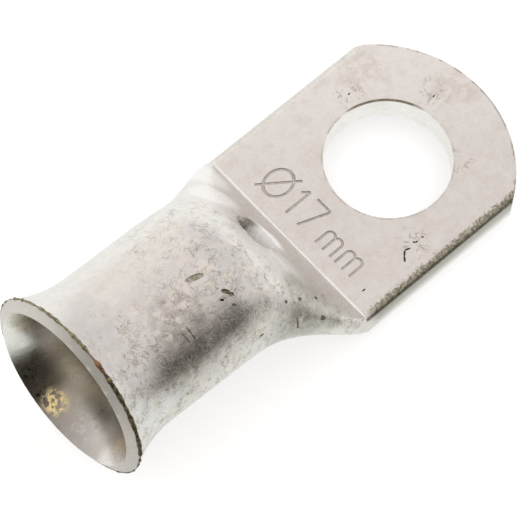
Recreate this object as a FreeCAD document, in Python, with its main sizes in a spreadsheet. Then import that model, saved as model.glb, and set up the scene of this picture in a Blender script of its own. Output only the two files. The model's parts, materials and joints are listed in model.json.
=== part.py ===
import FreeCAD, Part
import math
import os
import Sketcher

from FreeCAD import Placement, Rotation, Vector

# A copper tube terminal pressed from one length of tube.
# Origin: centre of the stud hole on the underside of the palm. +X points to
# the palm's round end, the cable mouth looks along -X and +Z is up from the
# palm's upper face.

# Driving dimensions in millimetres, angles in degrees
SIZES = {
    "tube_radius": 11.0,
    "wall": 2.15,
    "barrel_length": 39.0,
    "flare_radius": 16.0,
    "flare_angle": 29.5,
    "lip_thickness": 1.8,
    "neck_length": 18.0,
    "ramp_angle": 58.0,
    "side_length": 14.5,
    "side_angle": 6.0,
    "bend_angle": 5.0,
    "bend_length": 5.0,
    "palm_thickness": 4.3,
    "palm_flat_width": 28.0,
    "palm_side_bulge": 1.4,
    "palm_end_reach": 16.1,
    "palm_end_excess": 2.6,
    "stud_hole_radius": 8.5,
    "crease_distance": 17.5,
    "sight_hole_radius": 3.2,
    "sight_hole_distance": 7.1,
    "slit_height": 0.8,
}

NODE = "lug"
SKIN_SPANS = 6
CAVITY_STRIPS = 7

# Sizes of the palm's plan that follow from the driving dimensions
PALM_HALF = "(Sizes.palm_flat_width / 2 + Sizes.palm_side_bulge)"
PALM_END_RADIUS = f"({PALM_HALF} + Sizes.palm_end_excess)"

doc = FreeCAD.newDocument("CableLug")


def make_sheet():
    """Put the driving dimensions in a spreadsheet, one alias each."""
    sizes = doc.addObject("Spreadsheet::Sheet", "Sizes")
    for row, (name, value) in enumerate(SIZES.items(), start=1):
        sizes.set(f"A{row}", name)
        sizes.set(f"B{row}", str(value))
        sizes.setAlias(f"B{row}", name)
    doc.recompute()
    return sizes


sheet = make_sheet()


def size(name):
    """Read one driving dimension back from the spreadsheet."""
    return float(sheet.get(name))


# Course of the neck, where the round tube is pressed down to the flat palm

def covered(distance, length, change, start_angle):
    """Share of a change covered over a length, from its start angle to level at its end."""
    start = math.tan(math.radians(start_angle)) * length / change
    t = min(distance / length, 1.0)
    return start * (t**3 - 2 * t**2 + t) + 3 * t**2 - 2 * t**3


def opening(distance):
    """Share of the full round height reached this far behind the crease."""
    rise = 2 * size("tube_radius") - size("palm_thickness")
    return covered(distance, size("neck_length"), rise, size("ramp_angle"))


def narrowing(distance):
    """Share of the way from the palm's width to the tube's reached this far behind the crease."""
    loss = size("palm_flat_width") / 2 + size("palm_side_bulge") - size("tube_radius")
    return covered(distance, size("side_length"), loss, size("side_angle"))


def top_height(distance):
    """Height of the tube's top over its bottom, behind the crease."""
    flat = size("palm_thickness")
    return flat + (2 * size("tube_radius") - flat) * opening(distance)


def top_slope(distance, step=0.01):
    """Rise of the ramp per millimetre towards the mouth."""
    return (top_height(distance + step) - top_height(distance)) / step


def station(distance):
    """Placement on the tube's bottom line, upright to the line, behind the crease."""
    full_turn = math.radians(size("bend_angle"))
    length = size("bend_length")
    turned = full_turn * min(distance / length, 1.0)
    straight = max(distance - length, 0.0)
    x = -size("crease_distance") - straight * math.cos(turned)
    z = straight * math.sin(turned)
    if full_turn:
        x -= length / full_turn * math.sin(turned)
        z += length / full_turn * (1 - math.cos(turned))
    else:
        x -= min(distance, length)
    return Placement(Vector(x, 0, z), Rotation(Vector(0, 1, 0), math.degrees(turned)))


# Sections of the neck: ovals between a flat form with folded sides and a circle.
# A quarter runs from the top over a joint to the side, as two conic arcs.

def joint_angle(flat, bulge):
    """Angle from the top of the circle's joint, which keeps every section smooth there."""
    ratio = 2 * bulge / flat
    half_tangent = (math.hypot(ratio + 1, 2 * math.sqrt(ratio)) - ratio - 1) / (2 * ratio)
    return 2 * math.atan(half_tangent)


def flat_quarter(flat, bulge, half):
    """Poles (y, z) of the flat form's upper right quarter, about its centre."""
    side = flat + bulge
    return [(0.0, half), (flat / 2, half), (flat, half), (side, half), (side, 0.0)]


def round_quarter(radius, joint):
    """Poles (y, z) of the circle's upper right quarter, cut at the joint."""
    rest = math.pi / 2 - joint
    return [
        (0.0, radius),
        (radius * math.tan(joint / 2), radius),
        (radius * math.sin(joint), radius * math.cos(joint)),
        (radius, radius * math.tan(rest / 2)),
        (radius, 0.0),
    ]


def quarter_weights(joint):
    """Weights of a quarter's poles, those of the circle's two arcs."""
    rest = math.pi / 2 - joint
    return [1.0, math.cos(joint / 2), 1.0, math.cos(rest / 2), 1.0]


class Form:
    """Family of ovals between one flat form and one circle, and where each stands."""

    def __init__(self, flat, bulge, half, radius):
        self.joint = joint_angle(flat, bulge)
        self.flat = flat_quarter(flat, bulge, half)
        self.round = round_quarter(radius, self.joint)
        self.half, self.radius = half, radius

    def quarter(self, spread, height):
        """Quarter poles, with the width spread from flat (0) to round (1), at this height."""
        lift = (height / 2 - self.half) / (self.radius - self.half)
        poles = []
        for (y0, z0), (y1, z1) in zip(self.flat, self.round):
            poles.append((y0 + (y1 - y0) * spread, z0 + (z1 - z0) * lift))
        return poles


def outer_form():
    """Outside of the tube, from the palm's section to the full circle."""
    flat, bulge = size("palm_flat_width") / 2, size("palm_side_bulge")
    return Form(flat, bulge, size("palm_thickness") / 2, size("tube_radius"))


def outer_section(form, distance):
    """Quarter poles and lowest height of the outside."""
    return form.quarter(narrowing(distance), top_height(distance)), 0.0


def cavity_height(distance):
    """Height of the cavity between the walls, measured square to the ramp."""
    walls = size("wall") * (1 + math.hypot(1, top_slope(distance)))
    return top_height(distance) - walls


def slit_distance():
    """Where, behind the crease, the two pressed walls first stand the slit apart."""
    distance = 0.0
    while cavity_height(distance) < size("slit_height"):
        distance += size("neck_length") / 400
    return distance


def inner_form():
    """Inside of the tube, from the slit between the pressed walls to the bore."""
    wall, half = size("wall"), size("slit_height") / 2
    side = outer_form().quarter(narrowing(slit_distance()), 0.0)[-1][0] - wall
    return Form(side - half, half, half, size("tube_radius") - wall)


def inner_section(form, distance):
    """Quarter poles and lowest height of the inside, one wall within the outside."""
    closed = narrowing(slit_distance())
    spread = (narrowing(distance) - closed) / (1 - closed)
    return form.quarter(spread, cavity_height(distance)), size("wall")


# Skin over the sections: a patch for each conic arc outside, straight strips inside

def whole_oval(quarter, low):
    """Poles all round an oval, clockwise from the top, as (y, z) over the tube's bottom line."""
    half = quarter[0][1]
    upper = quarter
    lower = [(y, -z) for y, z in reversed(quarter[:-1])]
    right = upper + lower
    left = [(-y, z) for y, z in reversed(right[1:-1])]
    return [(y, z + half + low) for y, z in right + left + right[:1]]


def ring_weights(joint):
    """Weights all round an oval."""
    quarter = quarter_weights(joint)
    right = quarter + quarter[-2::-1]
    return right + right[-2::-1]


def placed_ring(section, form, distance):
    """Poles of one section, set in place along the neck."""
    placing = station(distance)
    quarter, low = section(form, distance)
    return [placing.multVec(Vector(0, y, z)) for y, z in whole_oval(quarter, low)]


def run_along(stations, points, leaving, arriving):
    """Smooth curve through one pole of every section, with its end directions."""
    curve = Part.BSplineCurve()
    curve.interpolate(Points=points, Parameters=stations,
                      InitialTangent=leaving, FinalTangent=arriving, Scale=False)
    return curve


def make_skin(form):
    """Closed solid inside the neck's outer skin, from the crease to the full circle."""
    length = size("neck_length")
    stations = [i / SKIN_SPANS for i in range(SKIN_SPANS + 1)]
    rings = [placed_ring(outer_section, form, length * t) for t in stations]
    nudge = length * 1e-4
    ahead = placed_ring(outer_section, form, nudge)
    arriving = station(length).Rotation.multVec(Vector(-length, 0, 0))
    runs = []
    for i, points in enumerate(zip(*rings)):
        leaving = (ahead[i] - points[0]) * (length / nudge)
        runs.append(run_along(stations, list(points), leaving, arriving))
    weights = ring_weights(form.joint)
    faces = [make_patch(runs[i:i + 3], weights[i:i + 3]) for i in range(0, len(runs) - 1, 2)]
    for end in (0, -1):
        faces.append(Part.Face(oval_wire(rings[end], weights)))
    shell = Part.Compound(faces)
    shell.sewShape()
    return Part.Solid(shell.Shells[0] if shell.Shells else Part.Shell(shell.Faces))


def make_patch(runs, weights):
    """Patch between three neighbouring runs of poles, a conic arc in every section."""
    patch = Part.BSplineSurface()
    rows = [run.getPoles() for run in runs]
    patch.buildFromPolesMultsKnots(
        rows, [3, 3], runs[0].getMultiplicities(), [0.0, 1.0], runs[0].getKnots(),
        False, False, 2, 3, [[weight] * len(rows[0]) for weight in weights])
    return patch.toShape()


def conic_edge(poles, weights):
    """Edge on three poles: a straight line where they are in line, otherwise a conic arc."""
    if poles[1].distanceToLine(poles[0], poles[2] - poles[0]) < 1e-9:
        return Part.LineSegment(poles[0], poles[2]).toShape()
    curve = Part.BSplineCurve()
    curve.buildFromPolesMultsKnots(poles, [3, 3], [0.0, 1.0], False, 2, weights)
    return curve.toShape()


def oval_wire(ring, weights):
    """Closed outline on the poles all round an oval."""
    return Part.Wire([conic_edge(ring[i:i + 3], weights[i:i + 3]) for i in range(0, len(ring) - 1, 2)])


def add_neck_outside():
    """Outside of the neck, smooth from the palm's section to the full circle."""
    skin = doc.addObject("Part::Feature", "NeckOutside")
    skin.Shape = make_skin(outer_form())
    return skin


def add_neck_inside():
    """Inside of the neck, out of sight: straight from section to section."""
    form, first = inner_form(), slit_distance()
    sections = []
    for i in range(CAVITY_STRIPS + 1):
        distance = first + (size("neck_length") - first) * i / CAVITY_STRIPS
        ring = placed_ring(inner_section, form, distance)
        sections.append(add_outline(f"NeckInsideSection{i}", ring, form))
    return add_strip("NeckInside", sections)


def add_outline(name, ring, form):
    """Keep an oval outline as an object of the document."""
    outline = doc.addObject("Part::Feature", name)
    outline.Shape = oval_wire(ring, ring_weights(form.joint))
    return outline


def add_palm_section(form, name, distance):
    """Outline of the palm's cross-section, stood at a distance along the palm."""
    ring = [Vector(0, y, z) for y, z in whole_oval(*outer_section(form, 0.0))]
    outline = add_outline(name, ring, form)
    outline.setExpression("Placement.Base.x", distance)
    return outline


def add_strip(name, sections):
    """Solid that runs straight from each of its sections to the next."""
    strip = doc.addObject("Part::Loft", name)
    strip.Sections = sections
    strip.Ruled = True
    strip.Solid = True
    return strip


def add_palm():
    """Palm: straight up to the corners of its round end, and cut to the end's outline beyond."""
    form = outer_form()
    short_of_corner, past_tip = 0.2, 0.05
    corner = f"Sizes.palm_end_reach - {PALM_END_RADIUS} + sqrt({PALM_END_RADIUS}^2 - {PALM_HALF}^2)"
    crease = add_palm_section(form, "PalmSectionCrease", "-Sizes.crease_distance")
    middle = add_palm_section(form, "PalmSectionCorner", f"{corner} - {short_of_corner}")
    tip = add_palm_section(form, "PalmSectionTip", f"Sizes.palm_end_reach + {past_tip}")
    outline = doc.addObject("Part::Extrusion", "PalmOutlineBlock")
    outline.Base = add_palm_outline()
    outline.DirMode = "Custom"
    outline.Dir = Vector(0, 0, 1)
    outline.Solid = True
    outline.setExpression("LengthFwd", "Sizes.palm_thickness + 2")
    rounded = doc.addObject("Part::Common", "PalmRoundEnd")
    rounded.Base = add_strip("PalmEndStrip", [middle, tip])
    rounded.Tool = outline
    palm = add_boolean("Part::MultiFuse", "Palm", add_strip("PalmSides", [crease, middle]), [rounded])
    palm.Refine = True
    return palm


def add_palm_outline():
    """Plan outline of the palm: sides kept clear of the strip, one arc across the end."""
    excess = size("palm_end_excess")
    strip_half = size("palm_flat_width") / 2 + size("palm_side_bulge")
    half = strip_half + excess / 2
    radius = strip_half + excess
    centre = size("palm_end_reach") - radius
    corner = centre + math.sqrt(radius**2 - half**2)
    back = -size("crease_distance")
    sketch = doc.addObject("Sketcher::SketchObject", "PalmOutline")
    sketch.Placement = Placement(Vector(0, 0, -1), Rotation())
    turn = math.asin(half / radius)
    circle = Part.Circle(Vector(centre, 0, 0), Vector(0, 0, 1), radius)
    arc = sketch.addGeometry(Part.ArcOfCircle(circle, -turn, turn))
    corners = [Vector(x, y, 0) for x, y in ((corner, half), (back, half), (back, -half), (corner, -half))]
    lines = [sketch.addGeometry(Part.LineSegment(a, b)) for a, b in zip(corners, corners[1:])]
    far, rear, near = lines
    sketch.addConstraint([
        Sketcher.Constraint("Coincident", arc, 2, far, 1),
        Sketcher.Constraint("Coincident", far, 2, rear, 1),
        Sketcher.Constraint("Coincident", rear, 2, near, 1),
        Sketcher.Constraint("Coincident", near, 2, arc, 1),
        Sketcher.Constraint("Horizontal", far),
        Sketcher.Constraint("Horizontal", near),
        Sketcher.Constraint("PointOnObject", arc, 3, -1),
        Sketcher.Constraint("Symmetric", rear, 1, rear, 2, -1),
    ])
    bind_dimensions(sketch, {
        "Radius": (["Radius", arc, radius], PALM_END_RADIUS),
        "Centre": (["DistanceX", arc, 3, -1, 1, -centre], f"{PALM_END_RADIUS} - Sizes.palm_end_reach"),
        "Back": (["DistanceX", rear, 1, -1, 1, -back], "Sizes.crease_distance"),
        "Width": (["DistanceY", rear, 2, rear, 1, 2 * half], f"2 * {PALM_HALF} + Sizes.palm_end_excess"),
    })
    return sketch


def bind_dimensions(sketch, dimensions):
    """Add named dimensions to a sketch, each bound to its expression."""
    for name, (constraint, expression) in dimensions.items():
        index = sketch.addConstraint(Sketcher.Constraint(*constraint))
        sketch.renameConstraint(index, name)
        sketch.setExpression(f"Constraints.{name}", expression)


def add_barrel():
    """Barrel and bell mouth: the tube's wall section turned about the tube's axis."""
    radius = size("tube_radius")
    axis_frame = station(size("neck_length"))
    outward = axis_frame.Rotation.multVec(Vector(-1, 0, 0))
    upward = axis_frame.Rotation.multVec(Vector(0, 0, 1))
    root = axis_frame.multVec(Vector(size("neck_length"), 0, radius))
    sketch = add_wall_section()
    sketch.Placement = Placement(root, Rotation(outward, upward, Vector(0, 1, 0), "XYZ"))
    barrel = doc.addObject("Part::Revolution", "Barrel")
    barrel.Source = sketch
    barrel.Base = root
    barrel.Axis = outward
    barrel.Angle = 360
    barrel.Solid = True
    return barrel


def add_wall_section():
    """Wall of the barrel in the tube's own plane: x along the axis, y from it.

    The wall thins where it is stretched to the bell, and the lip stands square to the outside."""
    radius, wall, lip_thickness = size("tube_radius"), size("wall"), size("lip_thickness")
    curl, neck, mouth = size("flare_radius"), size("neck_length"), size("barrel_length")
    turn = math.radians(size("flare_angle"))
    inner = radius - wall
    across_lip = Vector(math.sin(turn), -math.cos(turn), 0)
    outer_edge = Vector(mouth - lip_thickness * math.sin(turn), radius + curl * (1 - math.cos(turn)), 0)
    inner_edge = outer_edge + across_lip * lip_thickness
    inner_curl = (inner_edge.y - inner) / (1 - math.cos(turn))
    outer_arc = flared_arc(outer_edge - across_lip * curl, curl, turn)
    inner_arc = flared_arc(inner_edge - across_lip * inner_curl, inner_curl, turn)
    shapes = [
        Part.LineSegment(Vector(neck, radius, 0), outer_arc.StartPoint),
        outer_arc,
        Part.LineSegment(outer_edge, inner_edge),
        inner_arc,
        Part.LineSegment(inner_arc.StartPoint, Vector(neck, inner, 0)),
        Part.LineSegment(Vector(neck, inner, 0), Vector(neck, radius, 0)),
    ]
    sketch = doc.addObject("Sketcher::SketchObject", "WallSection")
    outside, flare, lip, throat, inside, root = (sketch.addGeometry(shape) for shape in shapes)
    sketch.addConstraint([
        Sketcher.Constraint("Tangent", outside, 2, flare, 1),
        Sketcher.Constraint("Coincident", flare, 2, lip, 1),
        Sketcher.Constraint("Coincident", lip, 2, throat, 2),
        Sketcher.Constraint("Tangent", throat, 1, inside, 1),
        Sketcher.Constraint("Coincident", inside, 2, root, 1),
        Sketcher.Constraint("Coincident", root, 2, outside, 1),
        Sketcher.Constraint("PointOnObject", flare, 3, lip),
        Sketcher.Constraint("PointOnObject", throat, 3, lip),
        Sketcher.Constraint("Horizontal", outside),
        Sketcher.Constraint("Horizontal", inside),
        Sketcher.Constraint("Vertical", root),
    ])
    bind_dimensions(sketch, {
        "Curl": (["Radius", flare, curl], "Sizes.flare_radius"),
        "Radius": (["DistanceY", -1, 1, root, 2, radius], "Sizes.tube_radius"),
        "Wall": (["DistanceY", root, 1, root, 2, wall], "Sizes.wall"),
        "Neck": (["DistanceX", -1, 1, root, 2, neck], "Sizes.neck_length"),
        "Mouth": (["DistanceX", -1, 1, lip, 2, mouth], "Sizes.barrel_length"),
        "Lip": (["Distance", lip, lip_thickness], "Sizes.lip_thickness"),
        "Reach": (["DistanceX", lip, 1, lip, 2, lip_thickness * math.sin(turn)],
                  "Sizes.lip_thickness * sin(Sizes.flare_angle * 1 deg)"),
    })
    return sketch


def flared_arc(centre, radius, turn):
    """Arc that starts straight below its centre and turns towards the mouth."""
    down = -math.pi / 2
    return Part.ArcOfCircle(Part.Circle(centre, Vector(0, 0, 1), radius), down, down + turn)


def add_stud_hole():
    """Cutting tool of the stud hole, straight up through the palm."""
    drill = doc.addObject("Part::Cylinder", "StudHole")
    drill.Placement = Placement(Vector(0, 0, -1), Rotation())
    drill.setExpression("Radius", "Sizes.stud_hole_radius")
    drill.setExpression("Height", "Sizes.palm_thickness + 2")
    return drill


def add_sight_hole():
    """Cutting tool of the sight hole, square to the ramp and through its wall only."""
    distance = size("sight_hole_distance")
    slope = top_slope(distance)
    depth = 2 * size("wall")
    on_ramp = station(distance)
    surface = on_ramp.multVec(Vector(0, 0, top_height(distance)))
    lean = Rotation(Vector(0, 1, 0), math.degrees(math.atan(slope)))
    turned = on_ramp.Rotation.multiply(lean)
    foot = surface - turned.multVec(Vector(0, 0, depth))
    drill = doc.addObject("Part::Cylinder", "SightHole")
    drill.Placement = Placement(foot, turned)
    drill.setExpression("Radius", "Sizes.sight_hole_radius")
    drill.setExpression("Height", "4 * Sizes.wall")
    return drill


def add_boolean(kind, name, base, tools):
    """Cut tools from a base, or join them to it."""
    result = doc.addObject(kind, name)
    result.Shapes = [base, *tools]
    return result


def build():
    """Join palm, neck and barrel to one solid, then drill it."""
    neck = doc.addObject("Part::Cut", "Neck")
    neck.Base = add_neck_outside()
    neck.Tool = add_neck_inside()
    blank = add_boolean("Part::MultiFuse", "Blank", add_palm(), [neck, add_barrel()])
    holes = add_boolean("Part::MultiFuse", "Holes", add_stud_hole(), [add_sight_hole()])
    lug = doc.addObject("Part::Cut", "Lug")
    lug.Base = blank
    lug.Tool = holes
    lug.Label = NODE
    doc.recompute()
    return lug


def check(part):
    """Stop before anything is written if an object failed or the part isn't one valid solid."""
    failed = [obj.Label for obj in doc.Objects if {"Invalid", "Error"} & set(obj.State)]
    if failed:
        raise RuntimeError(f"failed objects: {failed}")
    shape = part.Shape
    if shape.isNull() or not shape.isValid() or len(shape.Solids) != 1:
        raise RuntimeError(f"{part.Label} is not one valid solid")
    print(part.Label, "volume", round(shape.Volume, 1), "box", shape.BoundBox)


lug = build()
check(lug)
os.makedirs("parts", exist_ok=True)
lug.Shape.exportStep(f"parts/{lug.Label}.step")
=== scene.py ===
"""Looks of a tinned copper cable lug: its body, the bead on its crease, the burr round its mouth, and the stage."""

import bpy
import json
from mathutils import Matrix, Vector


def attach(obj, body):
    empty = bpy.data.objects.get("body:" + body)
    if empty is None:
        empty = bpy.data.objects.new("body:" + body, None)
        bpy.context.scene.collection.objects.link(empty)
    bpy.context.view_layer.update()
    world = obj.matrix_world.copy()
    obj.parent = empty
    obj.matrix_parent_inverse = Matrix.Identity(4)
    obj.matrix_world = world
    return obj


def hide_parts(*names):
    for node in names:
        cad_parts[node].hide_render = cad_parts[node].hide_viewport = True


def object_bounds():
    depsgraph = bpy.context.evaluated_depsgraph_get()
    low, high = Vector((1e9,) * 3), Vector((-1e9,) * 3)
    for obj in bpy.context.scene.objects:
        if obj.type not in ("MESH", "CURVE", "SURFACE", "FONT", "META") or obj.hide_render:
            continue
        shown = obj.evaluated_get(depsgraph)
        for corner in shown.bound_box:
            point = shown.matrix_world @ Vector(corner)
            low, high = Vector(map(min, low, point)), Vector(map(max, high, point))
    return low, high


bl_info = {
    "name": "Cable Lug",
    "version": (1, 0, 0),
    "blender": (4, 5, 0),
    "location": "3D View > Sidebar > Cable Lug",
    "description": "Finishes a pressed tube cable lug over its packed solid",
    "category": "Object",
}

import json
import math
from types import SimpleNamespace

import bpy
import numpy
from mathutils import Matrix, Vector, noise

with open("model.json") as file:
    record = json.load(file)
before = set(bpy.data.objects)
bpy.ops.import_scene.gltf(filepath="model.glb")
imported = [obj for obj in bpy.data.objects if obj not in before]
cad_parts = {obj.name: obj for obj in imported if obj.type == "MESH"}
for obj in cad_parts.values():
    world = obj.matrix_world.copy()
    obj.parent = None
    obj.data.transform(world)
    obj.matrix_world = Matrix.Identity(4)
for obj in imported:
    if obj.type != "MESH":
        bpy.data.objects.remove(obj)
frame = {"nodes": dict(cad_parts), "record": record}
CAD_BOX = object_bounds()

MM = 0.001
NODE = "lug"

# Places that follow from the frame, in metres
MOUNTS = {mount["name"]: mount for mount in frame["record"]["mounts"]}
PALM_TOP = MOUNTS["palm_top_face"]["pos_m"][2]
HOLE_RADIUS = MOUNTS["stud_hole"]["dims"]["r_mm"] * MM
FAR_RIM_SIDE = (0.63, 0.78, 0.0)
# Way the surfaces face in the band that mirrors the room's dark side; the finish darkens them with extra scratches as
# painted shade
NEAR_SIDE = (0.05, -0.86, 0.5)
END_ARC_X, END_ARC_RADIUS = -1.9 * MM, 18.0 * MM
CREASE_X = -17.5 * MM
BORE_MIDDLE = Vector(MOUNTS["cable_bore"]["pos_m"])
BORE_AXIS = Vector(MOUNTS["cable_bore"]["axis"]).normalized()
BORE_HALF = MOUNTS["cable_bore"]["dims"]["length_mm"] / 2 * MM
FLARE_LENGTH = 9.21 * MM
LIP_MIDDLE = BORE_MIDDLE + BORE_AXIS * (BORE_HALF + FLARE_LENGTH)
LIP_RADIUS = 13.07 * MM
FLOOR = CAD_BOX[0].z

# Stage, in metres
FLOOR_SIZE = 4.0
LAMP_PLACE, LAMP_TARGET, LAMP_SIZE = (0.15, 0.55, 0.14), (-0.02, 0.0, 0.01), 0.9

# Where the camera stands, as the photograph shows the lug
VIEW_AZIMUTH = math.radians(-46.12)
VIEW_ELEVATION = math.radians(65.22)
VIEW_ROLL = math.radians(4.32)
VIEW_DISTANCE = 525.3 * MM
VIEW_OFFSET = (-16.47 * MM, -11.30 * MM)
VIEW_FOCAL_PIXELS = 4026.3
FRAME_PIXELS = 520

# Brightness of the room round the horizon, from the side away from the window to the window itself
ROOM = (
    (0.00, (0.03, 0.028, 0.022)), (0.12, (0.05, 0.047, 0.038)), (0.25, (0.38, 0.36, 0.34)),
    (0.50, (0.60, 0.58, 0.56)), (0.75, (0.82, 0.785, 0.755)), (1.00, (0.88, 0.85, 0.815)),
)
OVERHEAD = (0.89, 0.84, 0.83)
WINDOW_SIDE = (0.5, 0.866, 0.0)
DARK_CORNER = (-0.56, -0.83, 0.0)
END_WALL = (0.77, 0.75, 0.755)
CORNER_TONE = (0.02, 0.016, 0.01)
PLAIN_LIGHT = (1.15, 1.13, 1.11)
FLOOR_GLOW = 0.50

# Brightness of the floor as the metal mirrors it, over the way towards the window
FLOOR_FAR, FLOOR_NEAR = -140 * MM, 30 * MM
MIRRORED_FLOOR = (
    (0.00, (0.05, 0.048, 0.04)), (0.25, (0.18, 0.175, 0.16)), (0.44, (0.56, 0.56, 0.53)),
    (0.62, (0.83, 0.84, 0.82)), (0.75, (0.97, 0.99, 0.97)), (1.00, (1.05, 1.06, 1.06)),
)

# Tint of the bore's wall, from its near side over the bottom to its far side; the pale last stop is painted light,
# brightening the mouth's far side
BORE_TINT_AND_LIGHT = (
    (0.00, (0.84, 0.80, 0.76)), (0.33, (0.88, 0.84, 0.79)), (0.52, (0.72, 0.67, 0.59)),
    (0.69, (0.52, 0.47, 0.38)), (0.79, (0.52, 0.48, 0.40)), (0.90, (0.97, 0.96, 0.90)),
)

# Dents in the skin in millimetres: one end, the other end, width, and the way out of the metal
DENTS = (
    ((-37.21, -1.92, 23.42), (-35.00, -2.51, 23.10), 0.80, (0.09, -0.21, 0.97)),
    ((-40.85, -6.22, 21.96), (-40.71, -7.74, 20.70), 0.24, (0.07, -0.65, 0.75)),
    ((-41.83, -6.41, 21.93), (-41.58, -7.62, 20.89), 0.18, (0.07, -0.63, 0.78)),
    ((-34.40, -5.20, 21.95), (-33.60, -6.00, 21.50), 0.62, (0.08, -0.53, 0.84)),
    ((-33.80, -6.00, 21.50), (-33.30, -6.50, 21.15), 0.55, (0.09, -0.58, 0.81)),
    ((-35.20, -5.95, 21.62), (-34.80, -6.30, 21.40), 0.30, (0.07, -0.57, 0.82)),
    ((-34.25, -7.10, 20.68), (-33.80, -7.50, 20.38), 0.42, (0.06, -0.69, 0.72)),
    ((-27.40, -9.45, 15.36), (-27.00, -9.70, 15.02), 0.44, (0.35, -0.72, 0.60)),
    ((-25.25, -9.80, 13.62), (-24.85, -10.0, 13.22), 0.48, (0.46, -0.61, 0.64)),
    ((-22.75, -10.2, 11.15), (-22.45, -10.5, 10.70), 0.44, (0.68, -0.35, 0.65)),
    ((-26.74, -11.25, 12.42), (-26.93, -11.76, 10.46), 0.42, (-0.15, -0.94, 0.30)),
    ((-23.60, -12.45, 10.00), (-23.20, -12.75, 9.50), 0.66, (0.15, -0.81, 0.57)),
    ((-32.60, -10.65, 14.60), (-31.90, -10.75, 14.35), 0.40, (0.07, -0.96, 0.25)),
    ((-15.30, -11.55, 4.30), (-14.80, -11.60, 4.30), 0.22, (0.0, 0.0, 1.0)),
    ((2.40, 10.25, 4.30), (2.75, 10.32, 4.30), 0.22, (0.0, 0.0, 1.0)),
    ((10.50, 2.70, 4.30), (10.90, 2.80, 4.30), 0.20, (0.0, 0.0, 1.0)),
    ((-6.55, -11.20, 4.30), (-7.30, -10.95, 4.30), 0.26, (0.0, 0.0, 1.0)),
    ((-7.30, -10.95, 4.30), (-7.95, -11.55, 4.30), 0.28, (0.0, 0.0, 1.0)),
    ((-7.95, -11.55, 4.30), (-8.40, -12.15, 4.30), 0.30, (0.0, 0.0, 1.0)),
    ((-5.70, -10.75, 4.30), (-5.55, -11.05, 4.30), 0.24, (0.0, 0.0, 1.0)),
    ((-5.55, -11.05, 4.30), (-5.15, -11.10, 4.30), 0.22, (0.0, 0.0, 1.0)),
    ((-4.45, -11.05, 4.30), (-4.15, -11.15, 4.30), 0.24, (0.0, 0.0, 1.0)),
    ((-17.60, -14.60, 4.40), (-18.30, -14.70, 4.80), 0.30, (0.50, -0.50, 0.70)),
)

# Marks on the finish, painted highlights among them, each a place in millimetres and its radius
NECK_DIRT = (((-26.0, -11.7, 10.8), 7.0), ((-22.4, -13.4, 8.4), 2.4), ((-24.8, -8.8, 13.8), 3.2))
DEEP_DIRT = (((-26.8, -11.8, 10.9), 4.0), ((-41.0, -5.0, 22.6), 5.0), ((-42.5, -8.6, 19.8), 4.0))
FLARE_LIGHT = ((-50.5, -10.6, 17.8), 6.0)
# Painted highlights: pale matt spots on the neck's far side
NECK_HIGHLIGHTS = (((-20.3, 12.6, 7.6), 4.6), ((-23.2, 8.2, 13.0), 5.0))
PALM_SCUFFS = (((2.5, 10.2, 4.3), 2.6), ((11.0, 3.2, 4.3), 3.0), ((-5.6, -11.0, 4.3), 3.0), ((6.8, -6.2, 4.3), 2.6))
PALM_TAN = (((6.3, 12.2, 4.3), 4.5), ((13.5, 2.0, 4.3), 4.0))
# Painted highlight: pale matt lens in the sight hole
SIGHT_HOLE_HIGHLIGHT = ((-22.4, -0.6, 11.9), 3.4)
WORN_SHOULDER = ((-32.5, -6.5, 20.0), 8.5)
WORN_CROWN = ((-32.0, 4.0, 21.0), 11.0)
SMOOTH_NECK = ((-22.0, -5.0, 12.5), 7.0)
LARGE_DENT = ((-36.1, -2.2, 23.2), 4.0)
BARE_COPPER = ((-53.2, -4.2, 26.1), 1.6)
BELL_DARK = (((-54.7, 7.0, 6.0), 1.7), ((-55.2, 5.2, 4.6), 1.4))
# Golden spot in the bell: a painted glint, matt and golden so that it stays bright
BELL_GOLD_GLINT = ((-54.5, 2.9, 3.9), 2.3)
BELL_RUBBED = (((-54.5, 10.4, 10.9), 2.2), ((-54.3, -2.6, 4.0), 3.0), ((-55.2, -8.5, 7.2), 3.0))

# Colours of the marks and of the dirt, and of the painted highlights, glint and shade
SHADE = {
    "palm cloud": (0.76, 0.715, 0.65), "palm tan": (0.66, 0.60, 0.51), "light scratch": (0.95, 0.93, 0.89),
    "neck dirt": (0.42, 0.40, 0.34), "deep dirt": (0.36, 0.335, 0.28), "light flare": (0.98, 0.97, 0.96),
    "end line": (0.36, 0.32, 0.25), "hole line": (0.22, 0.19, 0.13), "far side": (0.52, 0.51, 0.45),
    "side brown": (0.16, 0.145, 0.095), "side olive": (0.50, 0.47, 0.35), "side grey": (0.46, 0.45, 0.41),
    "cut dark": (0.40, 0.37, 0.31), "cut light": (0.50, 0.465, 0.40), "lens": (0.98, 0.96, 0.94),
    "bell dark": (0.03, 0.02, 0.01), "gold_glint": (1.0, 0.78, 0.34), "bell rubbed": (0.97, 0.96, 0.93),
    "bead": (0.99, 0.97, 0.94), "stroke dark": (0.56, 0.53, 0.49), "stroke light": (0.72, 0.69, 0.65),
    "dent olive dark": (0.36, 0.335, 0.26), "dent olive": (0.62, 0.59, 0.49), "dent black": (0.09, 0.08, 0.065),
    "dent brown dark": (0.13, 0.11, 0.075), "dent brown": (0.34, 0.31, 0.24),
    "oxide dark": (0.040, 0.030, 0.018), "oxide": (0.20, 0.165, 0.09), "burr patch": (0.36, 0.31, 0.16),
    "burr olive dark": (0.16, 0.13, 0.075), "burr olive": (0.42, 0.38, 0.25),
}
WHITE, BLACK = (1.0, 1.0, 1.0), (0.0, 0.0, 0.0)

# Size mark: its way from the crease, where it begins, the letters' height and the sign's width against the figures',
# and the width of each bow of the letters
MARK_GAP, MARK_START = 2.3 * MM, 8.6 * MM
SMALL_LETTER, SIGN_WIDTH = 0.62, 0.80
LETTER_BOW = 1.35 * MM

# Bead along the crease
BEAD_STEPS, BEAD_HALF_LENGTH, BEAD_BOW = 96, 14.75 * MM, 0.12 * MM

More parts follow.
